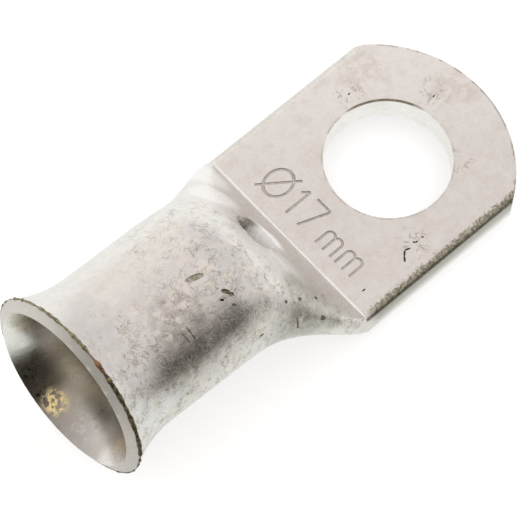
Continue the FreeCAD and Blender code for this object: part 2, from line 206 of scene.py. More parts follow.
# Thickness of the burr round the mouth: degrees from its top towards the near side, and share of the full width
BURR_ROUND = (
    (-180, 0.25), (-115, 0.20), (-95, 0.02), (-78, 0.30), (-30, 0.62), (15, 0.75), (25, 1.0), (68, 1.0),
    (88, 0.45), (105, 0.20), (180, 0.25),
)
BURR_RAGGED = 0.75
BURR_LEAST, BURR_MOST = 0.05, 1.35

# Sockets of the mix node that belong to its colours
MIX_FACTOR, MIX_UNDER, MIX_OVER, MIX_COLOUR = 0, 6, 7, 2


# Sizes and colours a user would change

class LugSettings(bpy.types.PropertyGroup):
    """Sizes and colours of the lug's finish."""

    edge_rounding: bpy.props.FloatProperty(
        name="Edge rounding", description="Width of the worn edge on the rims",
        default=0.12 * MM, min=0.0, unit="LENGTH")
    bead_width: bpy.props.FloatProperty(
        name="Crease bead", description="Width of the bead the press leaves along the crease",
        default=0.50 * MM, min=0.0, unit="LENGTH")
    mark_height: bpy.props.FloatProperty(
        name="Mark height", description="Height of the stamped figures",
        default=4.4 * MM, min=0.0, unit="LENGTH")
    mark_width: bpy.props.FloatProperty(
        name="Mark stroke", description="Width of the stamped strokes",
        default=0.36 * MM, min=0.0, unit="LENGTH")
    burr_width: bpy.props.FloatProperty(
        name="Burr width", description="Width of the ragged burr round the mouth",
        default=0.58 * MM, min=0.0, unit="LENGTH")
    tin: bpy.props.FloatVectorProperty(
        name="Tin", description="Tin plating", subtype="COLOR", size=3,
        default=(0.84, 0.81, 0.775), min=0.0, max=1.0)
    tin_clean: bpy.props.FloatVectorProperty(
        name="Clean tin", description="Brightest plating, at the palm's round end", subtype="COLOR", size=3,
        default=(0.92, 0.895, 0.86), min=0.0, max=1.0)
    tin_dull: bpy.props.FloatVectorProperty(
        name="Dull tin", description="Dull patches of the plating", subtype="COLOR", size=3,
        default=(0.75, 0.72, 0.68), min=0.0, max=1.0)
    cream: bpy.props.FloatVectorProperty(
        name="Cream", description="Warm rubbed patches of the plating", subtype="COLOR", size=3,
        default=(0.90, 0.84, 0.76), min=0.0, max=1.0)
    grime: bpy.props.FloatVectorProperty(
        name="Grime", description="Dirt in pits and scratches", subtype="COLOR", size=3,
        default=(0.38, 0.345, 0.275), min=0.0, max=1.0)
    copper: bpy.props.FloatVectorProperty(
        name="Copper", description="Bare copper where the plating is worn through", subtype="COLOR", size=3,
        default=(0.40, 0.20, 0.10), min=0.0, max=1.0)


class StageSettings(bpy.types.PropertyGroup):
    """Floor and light."""

    floor_colour: bpy.props.FloatVectorProperty(
        name="Floor", description="Colour of the floor", subtype="COLOR", size=3,
        default=(0.62, 0.62, 0.62), min=0.0, max=1.0)
    lamp_power: bpy.props.FloatProperty(
        name="Lamp", description="Power of the soft lamp at the window's side",
        default=0.25, min=0.0, unit="POWER")


# Tools of the bench

def only(*pieces):
    """Select these objects alone, the last one active."""
    bpy.ops.object.select_all(action="DESELECT")
    for piece in pieces:
        piece.select_set(True)
        bpy.context.view_layer.objects.active = piece


def named(name):
    """Give the active object and its mesh a name."""
    piece = bpy.context.active_object
    piece.name = piece.data.name = name
    return piece


def settle(piece):
    """Put an object's place, turn and scale into its mesh."""
    only(piece)
    bpy.ops.object.transform_apply(location=True, rotation=True, scale=True)
    return piece


def edit(piece, work):
    """Do some work on a piece in edit mode, with everything selected."""
    only(piece)
    bpy.ops.object.mode_set(mode="EDIT")
    bpy.ops.mesh.select_all(action="SELECT")
    work()
    bpy.ops.object.mode_set(mode="OBJECT")


def join(pieces, name):
    """Join pieces to one object."""
    only(*pieces)
    bpy.ops.object.join()
    return named(name)


def apply_modifier(piece, kind, **settings):
    """Add a modifier with these settings and apply it."""
    only(piece)
    modifier = piece.modifiers.new(kind.title(), kind)
    for key, value in settings.items():
        setattr(modifier, key, value)
    bpy.ops.object.modifier_apply(modifier=modifier.name)


def shader_node(tree, kind, inputs=None, **settings):
    """Add a shader node; an input is a value or another node's output."""
    node = tree.nodes.new(kind)
    for key, value in settings.items():
        setattr(node, key, value)
    for key, value in (inputs or {}).items():
        if isinstance(value, bpy.types.NodeSocket):
            tree.links.new(value, node.inputs[key])
        else:
            node.inputs[key].default_value = value
    return node


def math_node(tree, operation, first, second=0.0):
    """Add a math node and give its output."""
    return shader_node(tree, "ShaderNodeMath", {0: first, 1: second}, operation=operation).outputs[0]


def product(tree, *factors):
    """Multiply values."""
    amount = factors[0]
    for factor in factors[1:]:
        amount = math_node(tree, "MULTIPLY", amount, factor)
    return amount


def total(tree, *terms):
    """Add values."""
    amount = terms[0]
    for term in terms[1:]:
        amount = math_node(tree, "ADD", amount, term)
    return amount


def dot(tree, first, second):
    """Dot product of two vectors."""
    return shader_node(tree, "ShaderNodeVectorMath", {0: first, 1: second}, operation="DOT_PRODUCT").outputs["Value"]


def opposite(tree, amount):
    """1 minus a value."""
    return math_node(tree, "SUBTRACT", 1.0, amount)


def off_middle(tree, noise_value, reach):
    """Shift that follows a noise about its middle; a reach of 1 is the noise's own range."""
    return product(tree, math_node(tree, "SUBTRACT", noise_value, 0.5), reach)


def ramp(tree, factor, low, high):
    """Rise smoothly from 0 at low to 1 at high; low may be the greater."""
    node = shader_node(
        tree, "ShaderNodeMapRange", {"Value": factor, "From Min": low, "From Max": high},
        interpolation_type="SMOOTHSTEP", clamp=True)
    return node.outputs["Result"]


def spread(tree, factor, low, high):
    """Stretch the middle of a noise evenly between two values."""
    node = shader_node(
        tree, "ShaderNodeMapRange",
        {"Value": factor, "From Min": 0.3, "From Max": 0.7, "To Min": low, "To Max": high}, clamp=True)
    return node.outputs["Result"]


def colour_stops(tree, factor, stops):
    """Colour that follows a list of stops."""
    node = shader_node(tree, "ShaderNodeValToRGB", {0: factor})
    elements = node.color_ramp.elements
    while len(elements) < len(stops):
        elements.new(0.5)
    for element, (position, colour) in zip(elements, stops):
        element.position = position
        element.color = opaque(colour)
    return node.outputs["Color"]


def blend(tree, factor, under, over):
    """Mix two colours, each given as three numbers or as another node's output."""
    node = shader_node(tree, "ShaderNodeMix", {MIX_FACTOR: factor}, data_type="RGBA")
    for index, colour in ((MIX_UNDER, under), (MIX_OVER, over)):
        if isinstance(colour, bpy.types.NodeSocket):
            tree.links.new(colour, node.inputs[index])
        else:
            node.inputs[index].default_value = opaque(colour)
    return node.outputs[MIX_COLOUR]


def grain(tree, place, scale, detail=3.0, rough=0.6, distortion=0.0):
    """Noise of a scale given in features per metre."""
    node = shader_node(
        tree, "ShaderNodeTexNoise",
        {"Vector": place, "Scale": scale, "Detail": detail, "Roughness": rough, "Distortion": distortion})
    return node.outputs["Fac"]


def moved(tree, place, way):
    """A pattern's place, moved to draw it anew elsewhere."""
    return shader_node(tree, "ShaderNodeVectorMath", {0: place, 1: way}, operation="ADD").outputs["Vector"]


def hairs(tree, place, scale, width, breaks, share):
    """Short curved lines: where one noise crosses its middle, broken up by another."""
    line = grain(tree, place, scale, detail=1.5, distortion=0.9)
    off = math_node(tree, "ABSOLUTE", math_node(tree, "SUBTRACT", line, 0.5))
    gap = grain(tree, place, breaks, detail=1.0)
    return product(tree, ramp(tree, off, width, width * 0.1), ramp(tree, gap, share, share + 0.07))


def pits(tree, place, scale, share):
    """Scattered ragged pits; share is how many of the cells hold one."""
    shaken = shader_node(
        tree, "ShaderNodeTexNoise", {"Vector": place, "Scale": scale * 1.6, "Detail": 2.0}).outputs["Color"]
    shaken = shader_node(
        tree, "ShaderNodeVectorMath", {0: shaken, 3: 1.1 / scale}, operation="SCALE").outputs["Vector"]
    cells = shader_node(
        tree, "ShaderNodeTexVoronoi", {"Vector": moved(tree, place, shaken), "Scale": scale, "Randomness": 1.0})
    chosen = shader_node(tree, "ShaderNodeSeparateXYZ", {0: cells.outputs["Color"]}).outputs
    reach = product(tree, chosen[1], 0.34)
    shape = ramp(tree, math_node(tree, "SUBTRACT", cells.outputs["Distance"], reach), 0.08, -0.04)
    return product(tree, shape, math_node(tree, "LESS_THAN", chosen[0], share))


def spot(tree, place, middle, radius):
    """Soft round mask about a place given in millimetres."""
    middle = Vector(middle) * MM
    far = shader_node(tree, "ShaderNodeVectorMath", {0: place, 1: middle}, operation="DISTANCE").outputs["Value"]
    return ramp(tree, far, radius * MM, radius * 0.4 * MM)


def spots(tree, place, marks):
    """Soft round masks about several places, at most 1 together."""
    amount = 0.0
    for middle, radius in marks:
        amount = math_node(tree, "MAXIMUM", spot(tree, place, middle, radius), amount)
    return amount


def opaque(colour):
    """A colour of three numbers as a shader's colour."""
    return (*colour, 1.0)


def new_material(name):
    """Start a material; gives it, its tree, its shader and the object's own place."""
    material = bpy.data.materials.new(name)
    material.use_nodes = True
    tree = material.node_tree
    place = shader_node(tree, "ShaderNodeTexCoord").outputs["Object"]
    return material, tree, tree.nodes["Principled BSDF"], place


# Finish of the metal, with its painted highlights and shade

def surface(tree, place):
    """Where each point of the lug lies: its coordinates, soft masks of its regions, and two shared noises."""
    x, y, z = shader_node(tree, "ShaderNodeSeparateXYZ", {0: place}).outputs
    geometry = shader_node(tree, "ShaderNodeNewGeometry").outputs
    normal = geometry["True Normal"]
    from_axis = shader_node(
        tree, "ShaderNodeVectorMath", {0: place, 1: BORE_MIDDLE}, operation="SUBTRACT").outputs["Vector"]
    in_barrel = ramp(tree, x, -27 * MM, -29 * MM)
    inside = product(tree, ramp(tree, dot(tree, from_axis, normal), 0.0, -1 * MM), in_barrel)
    return SimpleNamespace(
        x=x, y=y, z=z, inside=inside, outside=opposite(tree, inside),
        lip=product(tree, ramp(tree, dot(tree, normal, tuple(BORE_AXIS)), 0.80, 0.93), in_barrel),
        on_palm=ramp(tree, x, CREASE_X - MM, CREASE_X),
        facing_near_shade=dot(tree, geometry["Normal"], NEAR_SIDE),
        mottle=grain(tree, place, 800, detail=5.0, rough=0.7, distortion=0.5),
        broad=grain(tree, place, 240, detail=3.0))


def wear_and_shade_map(tree, place, at):
    """How worn and scratched each place is: little on the palm, most on the near side of the neck. The extra on
    surfaces facing the near side is partly painted shade, darkening the band that mirrors the room's dark side.
    """
    worked = ramp(tree, at.x, CREASE_X + 0.5 * MM, CREASE_X - 3 * MM)
    patches = spread(tree, grain(tree, place, 330, detail=3.0), 0.45, 1.15)
    # Surfaces facing the near side get extra scratches: partly real wear, partly painted shade of the band that
    # mirrors the room's dark side
    wear_and_shade = total(
        tree, 0.20, product(tree, ramp(tree, at.facing_near_shade, 0.30, 0.90), 0.70),
        product(tree, spot(tree, place, *WORN_SHOULDER), 0.40), product(tree, spot(tree, place, *WORN_CROWN), 0.38),
        product(tree, spots(tree, place, NECK_DIRT), 0.30))
    wear_and_shade = product(tree, wear_and_shade, opposite(tree, product(tree, spot(tree, place, *SMOOTH_NECK), 0.7)))
    return product(tree, total(tree, product(tree, worked, wear_and_shade, patches), 0.06), at.outside)


def scratches(tree, place, at, wear_and_shade):
    """Masks of the hair scratches and small pits, denser where the metal is worn and, as painted shade, on surfaces
    facing the near side.
    """
    dark = product(
        tree, hairs(tree, place, scale=1100, width=0.075, breaks=600, share=0.49),
        ramp(tree, wear_and_shade, 0.02, 0.75))
    fine = product(
        tree, hairs(tree, moved(tree, place, (1, 2, 3)), scale=1600, width=0.09, breaks=900, share=0.51),
        ramp(tree, wear_and_shade, 0.0, 0.9))
    light = product(
        tree, hairs(tree, moved(tree, place, (3, 1, 2)), scale=1500, width=0.065, breaks=900, share=0.48),
        ramp(tree, wear_and_shade, 0.0, 0.6))
    small_pits = product(tree, pits(tree, place, scale=1250, share=0.17), ramp(tree, wear_and_shade, 0.25, 0.95))
    dirty = product(tree, total(tree, dark, product(tree, fine, 0.7)), spread(tree, at.broad, 0.25, 0.70))
    return SimpleNamespace(dark=dark, fine=fine, light=light, pits=small_pits, dirty=dirty)


def plating(tree, place, at, wear_and_shade, settings):
    """Mottled tin: brighter and cloudy on the palm, soiled on the neck, creamy where it is worn."""
    colour = blend(tree, spread(tree, at.mottle, 0.0, 0.8), settings.tin, settings.tin_dull)
    far_end = ramp(tree, total(tree, at.y, product(tree, at.x, 0.5)), -9 * MM, 22 * MM)
    colour = blend(tree, product(tree, far_end, at.on_palm), colour, settings.tin_clean)
    clouds = ramp(tree, grain(tree, moved(tree, place, (4, 4, 0)), 380, detail=5.0, rough=0.7), 0.50, 0.62)
    colour = blend(tree, product(tree, clouds, at.on_palm, 0.40), colour, SHADE["palm cloud"])
    tan = product(tree, spots(tree, place, PALM_TAN), ramp(tree, at.mottle, 0.40, 0.60), 0.45)
    colour = blend(tree, tan, colour, SHADE["palm tan"])
    neck = spots(tree, place, NECK_DIRT)
    colour = blend(tree, product(tree, neck, spread(tree, at.mottle, 0.45, 0.75)), colour, SHADE["neck dirt"])
    deep = product(tree, spots(tree, place, DEEP_DIRT), spread(tree, at.mottle, 0.20, 0.65))
    colour = blend(tree, deep, colour, SHADE["deep dirt"])
    colour = blend(tree, product(tree, spot(tree, place, *FLARE_LIGHT), 0.9), colour, SHADE["light flare"])
    creamy = product(tree, ramp(tree, grain(tree, place, 700, detail=4.0), 0.47, 0.62), wear_and_shade, opposite(tree, neck))
    return blend(tree, creamy, colour, settings.cream)


def scuffed(tree, place, at, marks, colour, settings):
    """Scratches and pits over the plating, and the scuffs on the palm."""
    colour = blend(tree, marks.dirty, colour, settings.grime)
    colour = blend(tree, product(tree, marks.pits, 0.6), colour, settings.grime)
    colour = blend(tree, product(tree, marks.light, 0.30), colour, SHADE["light scratch"])
    scuffs = hairs(tree, moved(tree, place, (6, 2, 5)), scale=1000, width=0.07, breaks=900, share=0.47)
    share = total(tree, product(tree, spots(tree, place, PALM_SCUFFS), 0.45), 0.10)
    return blend(tree, product(tree, scuffs, share, at.on_palm), colour, settings.grime)


def rim_lines(tree, place, at, colour):
    """Thin dirty lines along the palm's round end and along the far side of the stud hole's rim."""
    def outwards(middle_x):
        away = shader_node(tree, "ShaderNodeCombineXYZ", {0: math_node(tree, "SUBTRACT", at.x, middle_x), 1: at.y})
        return shader_node(tree, "ShaderNodeVectorMath", {0: away.outputs[0]}, operation="LENGTH").outputs["Value"]

    upper = ramp(tree, at.z, PALM_TOP - 0.35 * MM, PALM_TOP - 0.15 * MM)
    broken = ramp(tree, grain(tree, place, 620, detail=4.0), 0.40, 0.56)
    end = total(tree, outwards(END_ARC_X), off_middle(tree, at.mottle, 0.8 * MM))
    end_line = product(
        tree, ramp(tree, end, END_ARC_RADIUS - 0.32 * MM, END_ARC_RADIUS - 0.10 * MM),
        ramp(tree, at.x, -2 * MM, 3 * MM), upper, broken, 0.75)
    colour = blend(tree, end_line, colour, SHADE["end line"])
    far_rim = ramp(tree, dot(tree, place, FAR_RIM_SIDE), 6.6 * MM, 8.0 * MM)
    strength = total(tree, product(tree, far_rim, 0.85), product(tree, broken, 0.30))
    by_hole = ramp(tree, outwards(0.0), HOLE_RADIUS + 0.32 * MM, HOLE_RADIUS + 0.16 * MM)
    return blend(tree, product(tree, by_hole, upper, strength), colour, SHADE["hole line"])


def palm_sides(tree, place, at, colour):
    """Frayed dark olive band along the upper part of the palm's near side, partly dirt and partly painted shade, and
    thin soil on its far side.
    """
    frayed = grain(tree, place, 2600, detail=4.0, rough=0.7)
    ragged_y = total(tree, at.y, off_middle(tree, at.mottle, 1.0 * MM), off_middle(tree, frayed, 1.6 * MM))
    far_side = product(tree, ramp(tree, ragged_y, 14.2 * MM, 14.8 * MM), at.on_palm, 0.45)
    colour = blend(tree, far_side, colour, SHADE["far side"])
    # Dark band where the near side mirrors the room's dark side: partly dirt, partly painted shade
    near_side = product(
        tree, ramp(tree, at.z, 1.8 * MM, 3.3 * MM), ramp(tree, ragged_y, -13.75 * MM, -14.35 * MM),
        ramp(tree, at.x, CREASE_X, CREASE_X + 2 * MM))
    dirt_and_shade = blend(tree, ramp(tree, frayed, 0.40, 0.62), SHADE["side brown"], SHADE["side olive"])
    dirt_and_shade = blend(tree, ramp(tree, at.y, -14.7 * MM, -15.2 * MM), dirt_and_shade, SHADE["side grey"])
    return blend(tree, product(tree, near_side, 0.9), colour, dirt_and_shade)


def mouth(tree, place, at, colour):
    """Cut face of the lip, the bore's tint with painted light on its far side, and the marks in the bell: squiggles,
    a painted golden glint, rubbed places.
    """
    def squiggle(seed, scale, width):
        return hairs(tree, moved(tree, place, (seed, 0, 0)), scale, width, breaks=scale * 0.7, share=0.42)

    cut_face = blend(tree, spread(tree, at.mottle, 0.0, 1.0), SHADE["cut dark"], SHADE["cut light"])
    colour = blend(tree, product(tree, at.lip, 0.85), colour, cut_face)
    across = shader_node(tree, "ShaderNodeMapRange", {"Value": at.y, "From Min": -12 * MM, "From Max": 12 * MM})
    # The bore's tint; its pale far stop is painted light
    colour = blend(tree, at.inside, colour, colour_stops(tree, across.outputs["Result"], BORE_TINT_AND_LIGHT))
    dark_place = total(tree, *(spot(tree, place, *mark) for mark in BELL_DARK))
    dark = product(tree, squiggle(seed=5, scale=1100, width=0.07), dark_place, at.inside)
    colour = blend(tree, dark, colour, SHADE["bell dark"])
    # Painted golden glint: matt golden squiggles in the bell
    gold_glint = product(tree, squiggle(seed=7, scale=1150, width=0.17), spot(tree, place, *BELL_GOLD_GLINT), at.inside)
    colour = blend(tree, gold_glint, colour, SHADE["gold_glint"])
    rubbed_place = total(tree, *(spot(tree, place, *mark) for mark in BELL_RUBBED))
    rubbed = product(tree, squiggle(seed=9, scale=1000, width=0.10), rubbed_place, at.inside, 0.8)
    return blend(tree, rubbed, colour, SHADE["bell rubbed"]), gold_glint


def relief(tree, at, marks):
    """Soft unevenness of the pressed metal, and the scratches' and pits' own depth."""
    pressed = ramp(tree, at.x, CREASE_X + MM, CREASE_X - 4 * MM)
    height = total(
        tree, product(tree, at.broad, at.outside, opposite(tree, at.lip), pressed, 0.050),
        product(tree, at.mottle, 0.007), product(tree, marks.dark, -0.010), product(tree, marks.fine, -0.005),
        product(tree, marks.light, 0.006), product(tree, marks.pits, -0.015))
    return shader_node(tree, "ShaderNodeBump", {"Height": height, "Distance": MM, "Strength": 1.0}).outputs["Normal"]


def tinned_metal(settings):
    """Tin plating: mottled, scuffed, with hair scratches and pits where the tube was worked most, painted shade on
    the band facing the near side, painted highlights on the neck's far side and in the sight hole, and a painted
    golden glint in the bell.
    """
    material, tree, shader, place = new_material("tinned_metal")
    at = surface(tree, place)
    wear_and_shade = wear_and_shade_map(tree, place, at)
    marks = scratches(tree, place, at, wear_and_shade)
    colour = plating(tree, place, at, wear_and_shade, settings)
    colour = scuffed(tree, place, at, marks, colour, settings)
    colour = rim_lines(tree, place, at, colour)
    colour = palm_sides(tree, place, at, colour)
    colour, gold_glint = mouth(tree, place, at, colour)

    # Painted highlights: near-white, non-metallic patches on the neck's far side and in the sight hole; matt also
    # holds the golden glint and the lip's duller cut face
    painted_highlight = product(tree, spots(tree, place, NECK_HIGHLIGHTS), opposite(tree, at.on_palm), 0.6)
    painted_highlight = math_node(tree, "MAXIMUM", spot(tree, place, *SIGHT_HOLE_HIGHLIGHT), painted_highlight)
    matt = math_node(tree, "MAXIMUM", math_node(tree, "MAXIMUM", gold_glint, painted_highlight), product(tree, at.lip, 0.65))
    rough = total(
        tree, spread(tree, at.mottle, 0.24, 0.33), product(tree, marks.dirty, 0.2), product(tree, at.lip, 0.1))
    tree.links.new(blend(tree, painted_highlight, colour, SHADE["lens"]), shader.inputs["Base Color"])
    tree.links.new(opposite(tree, matt), shader.inputs["Metallic"])
    tree.links.new(rough, shader.inputs["Roughness"])
    tree.links.new(relief(tree, at, marks), shader.inputs["Normal"])
    return material


def coat(tree, shader, colour, metallic, roughness):
    """Give a shader its colour, and how metallic and how rough it is."""
    tree.links.new(colour, shader.inputs["Base Color"])
    shader.inputs["Metallic"].default_value = metallic
    shader.inputs["Roughness"].default_value = roughness


def bead_tin_and_highlight(settings):
    """Bright tin on the crease bead, half matt and near white in patches: rubbed tin and a painted highlight along
    the crease.
    """
    material, tree, shader, place = new_material("bead_tin_and_highlight")
    patches = grain(tree, place, 900, detail=4.0)
    # Near-white patches and low metallic: painted highlight along the crease
    colour = blend(tree, spread(tree, patches, 0.0, 1.0), settings.tin_clean, SHADE["bead"])
    coat(tree, shader, colour, metallic=0.35, roughness=0.35)
    return material


def stroke_shade():
    """Stamped strokes: dull metal painted darker, as painted shade in the pressed recesses."""
    material, tree, shader, place = new_material("stroke_shade")
    patches = ramp(tree, grain(tree, place, 1500, detail=4.0), 0.35, 0.65)
    coat(tree, shader, blend(tree, patches, SHADE["stroke dark"], SHADE["stroke light"]), metallic=1.0, roughness=0.4)
    return material


def dent_grime():
    """Dirt in the dents: brown, olive in the large one on the barrel, near black on the palm."""
    material, tree, shader, place = new_material("dent_grime")
    patches = ramp(tree, grain(tree, place, 2200, detail=3.0), 0.35, 0.65)
    x = shader_node(tree, "ShaderNodeSeparateXYZ", {0: place}).outputs[0]
    olive = blend(tree, patches, SHADE["dent olive dark"], SHADE["dent olive"])
    brown = blend(tree, patches, SHADE["dent brown dark"], SHADE["dent brown"])
    colour = blend(tree, spot(tree, place, *LARGE_DENT), brown, olive)
    colour = blend(tree, ramp(tree, x, CREASE_X, CREASE_X + MM), colour, SHADE["dent black"])
    coat(tree, shader, colour, metallic=0.8, roughness=0.5)
    return material


def raw_burr(settings):
    """Sheared edge of the mouth: dark oxide on the near side, olive on the far side, copper in one place."""
    material, tree, shader, place = new_material("raw_burr")
    patches = grain(tree, place, 380, detail=5.0, rough=0.7)
    fine = ramp(tree, grain(tree, place, 2600, detail=3.0), 0.35, 0.65)
    oxide = blend(tree, fine, SHADE["oxide dark"], SHADE["oxide"])
    olive = blend(tree, fine, SHADE["burr olive dark"], SHADE["burr olive"])
    y = shader_node(tree, "ShaderNodeSeparateXYZ", {0: place}).outputs[1]
    near = total(tree, product(tree, y, -1.0), off_middle(tree, patches, 12 * MM))
    colour = blend(tree, ramp(tree, near, 1 * MM, 4 * MM), olive, oxide)
    colour = blend(tree, ramp(tree, patches, 0.56, 0.64), colour, SHADE["burr patch"])
    worn = product(tree, spot(tree, place, *BARE_COPPER), ramp(tree, patches, 0.40, 0.50))
    coat(tree, shader, blend(tree, worn, colour, settings.copper), metallic=0.7, roughness=0.5)
    return material


# Cutters that press the marks into the body

def rod(start, end, radius):
    """Straight stroke between two places."""
    start, end = Vector(start), Vector(end)
    along = end - start
    turn = along.to_track_quat("Z", "Y").to_euler()
    bpy.ops.mesh.primitive_cylinder_add(
        vertices=12, radius=radius, depth=along.length, location=(start + end) / 2, rotation=turn)
    return settle(bpy.context.active_object)


def oval(middle, width, height, radius):
    """Closed oval stroke lying flat."""
    bpy.ops.mesh.primitive_torus_add(
        major_segments=48, minor_segments=12, major_radius=width / 2, minor_radius=radius, location=middle)
    ring = bpy.context.active_object
    ring.scale = (height / width, 1.0, 1.0)
    return settle(ring)


def arch(middle, width, radius):
    """Half ring lying flat, open towards -X."""
    bpy.ops.mesh.primitive_torus_add(
        major_segments=32, minor_segments=12, major_radius=width / 2, minor_radius=radius, location=middle)
    half = settle(bpy.context.active_object)
    edit(half, lambda: bpy.ops.mesh.bisect(
        plane_co=middle, plane_no=(1, 0, 0), clear_inner=True, use_fill=True))
    return half


def stamped_mark(settings):
    """Plain size mark, diameter sign, 17 and mm, read along the crease."""
    tall, stroke = settings.mark_height, settings.mark_width / 2
    foot = CREASE_X + MARK_GAP
    top = foot + tall
    middle = (foot + top) / 2
    small = tall * SMALL_LETTER
    y = MARK_START
    level = PALM_TOP + stroke * 0.2
    strokes = []

    def line(x0, y0, x1, y1):
        strokes.append(rod((x0, y0, level), (x1, y1, level), stroke))

    sign = tall * SIGN_WIDTH
    strokes.append(oval((middle, y - sign / 2, level), sign, tall, stroke))
    line(foot - 0.3 * MM, y + 0.1 * MM, top + 0.3 * MM, y - sign - 0.1 * MM)
    y -= sign + 2.0 * MM
    line(foot, y, top, y)
    line(top, y, top - 0.9 * MM, y + 0.8 * MM)
    y -= 1.3 * MM
    line(top, y, top, y - 2.5 * MM)
    line(top, y - 2.5 * MM, foot, y - 0.9 * MM)
    y -= 4.3 * MM
    width = LETTER_BOW
    for _ in range(2):
        for leg in range(3):
            line(foot, y - leg * width, foot + small - width / 2, y - leg * width)
        for bow in range(2):
            strokes.append(arch((foot + small - width / 2, y - (bow + 0.5) * width, level), width, stroke))
        y -= 2 * width + 1.0 * MM
    return strokes


def dent_cutters():
    """Long balls sunk halfway into the skin at each dent."""
    balls = []
    for start, end, width, out in DENTS:
        start, end, out = Vector(start) * MM, Vector(end) * MM, Vector(out).normalized()
        along = (end - start).normalized()
        across = out.cross(along).normalized()
        out = along.cross(across)
        bpy.ops.mesh.primitive_uv_sphere_add(segments=16, ring_count=10, radius=0.5)
        ball = bpy.context.active_object
        ball.matrix_world = (
            Matrix.Translation((start + end) / 2)
            @ Matrix((along, across, out)).transposed().to_4x4()
            @ Matrix.Diagonal(((end - start).length * 1.15, width * MM, width * 0.5 * MM, 1.0)))
        balls.append(settle(ball))
    return balls


def cut(body, cutters, finish):
    """Cut some cutters out of the body and leave their finish on the cut faces."""
    cutter = join(cutters, "cutter")
    cutter.data.materials.append(finish)
    apply_modifier(body, "BOOLEAN", operation="DIFFERENCE", solver="EXACT", object=cutter,
                   use_self=True, material_mode="TRANSFER")
    bpy.data.objects.remove(cutter)
    body.active_material_index = len(body.material_slots) - 1

    def sharpen():
        bpy.ops.mesh.select_all(action="DESELECT")
        bpy.ops.object.material_slot_select()
        bpy.ops.mesh.region_to_loop()
        bpy.ops.mesh.mark_sharp()

    edit(body, sharpen)


def make_body(settings):
    """The lug's body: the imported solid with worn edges, and the mark and dents cut in."""
    body = bpy.data.objects.new("lug_body", frame["nodes"][NODE].data.copy())
    body.data.name = body.name
    bpy.context.scene.collection.objects.link(body)
    only(body)
    bpy.ops.mesh.customdata_custom_splitnormals_clear()

    def clean():
        bpy.ops.mesh.remove_doubles(threshold=0.002 * MM)
        bpy.ops.mesh.dissolve_limited(angle_limit=math.radians(0.15))
        bpy.ops.mesh.select_all(action="DESELECT")
        bpy.ops.mesh.edges_select_sharp(sharpness=math.radians(52))
        bpy.ops.mesh.bevel(offset=settings.edge_rounding, segments=2, affect="EDGES", clamp_overlap=True)
        bpy.ops.mesh.select_all(action="SELECT")
        bpy.ops.mesh.quads_convert_to_tris(quad_method="BEAUTY", ngon_method="BEAUTY")

    edit(body, clean)
    body.data.materials.clear()
    body.data.materials.append(tinned_metal(settings))
    cut(body, stamped_mark(settings), stroke_shade())
    cut(body, dent_cutters(), dent_grime())
    only(body)
    bpy.ops.object.shade_smooth_by_angle(angle=math.radians(35))
    apply_modifier(body, "WEIGHTED_NORMAL", keep_sharp=True, weight=60)
    return body


def make_bead(settings):
    """Uneven bead the press leaves along the crease, tapered at both ends."""
    bpy.ops.mesh.primitive_cylinder_add(
        vertices=12, radius=settings.bead_width / 2, depth=2 * BEAD_HALF_LENGTH, rotation=(math.pi / 2, 0, 0))
    bead = settle(named("crease_bead"))

    def slice_up():
        for step in range(1, BEAD_STEPS):
            bpy.ops.mesh.select_all(action="SELECT")
            place = (0, BEAD_HALF_LENGTH * (2 * step / BEAD_STEPS - 1), 0)
            bpy.ops.mesh.bisect(plane_co=place, plane_no=(0, 1, 0))

    edit(bead, slice_up)
    for vertex in bead.data.vertices:
        way = vertex.co.y / BEAD_HALF_LENGTH
        uneven = noise.fractal(Vector((vertex.co.y / MM * 0.45, 3.1, 0)), 0.6, 2.2, 3)
        slim = (1.0 + 0.14 * uneven) * math.sqrt(max(0.02, 1 - abs(way) ** 6))
        vertex.co.x = CREASE_X + vertex.co.x * slim - BEAD_BOW * (1 - way * way)
        vertex.co.z = PALM_TOP + vertex.co.z * slim * 0.8 + 0.01 * MM
    bead.data.materials.append(bead_tin_and_highlight(settings))
    only(bead)
    bpy.ops.object.shade_smooth_by_angle(angle=math.radians(50))
    return bead


def make_burr(settings):
    """Ragged burr round the outer edge of the mouth, thickest on its upper near side."""
    bpy.ops.mesh.primitive_torus_add(
        major_segments=720, minor_segments=8, major_radius=LIP_RADIUS, minor_radius=settings.burr_width / 2)
    burr = named("mouth_burr")
    turn = BORE_AXIS.to_track_quat("Z", "Y")
    burr.matrix_world = Matrix.Translation(LIP_MIDDLE) @ turn.to_matrix().to_4x4()
    settle(burr)
    for vertex in burr.data.vertices:
        arm = vertex.co - LIP_MIDDLE
        arm -= BORE_AXIS * arm.dot(BORE_AXIS)
        ring = LIP_MIDDLE + arm.normalized() * LIP_RADIUS
        angle = math.degrees(math.atan2(-arm.y, arm.z))
        thick = numpy.interp(angle, *zip(*BURR_ROUND))
        ragged = noise.fractal(arm.normalized() * 12, 0.6, 2.3, 4)
        size = thick + BURR_RAGGED * ragged * min(1.0, 2 * thick)
        vertex.co = ring + (vertex.co - ring) * float(min(max(size, BURR_LEAST), BURR_MOST))
    burr.data.materials.append(raw_burr(settings))
    only(burr)
    bpy.ops.object.shade_smooth_by_angle(angle=math.radians(45))
    return burr


# Stage

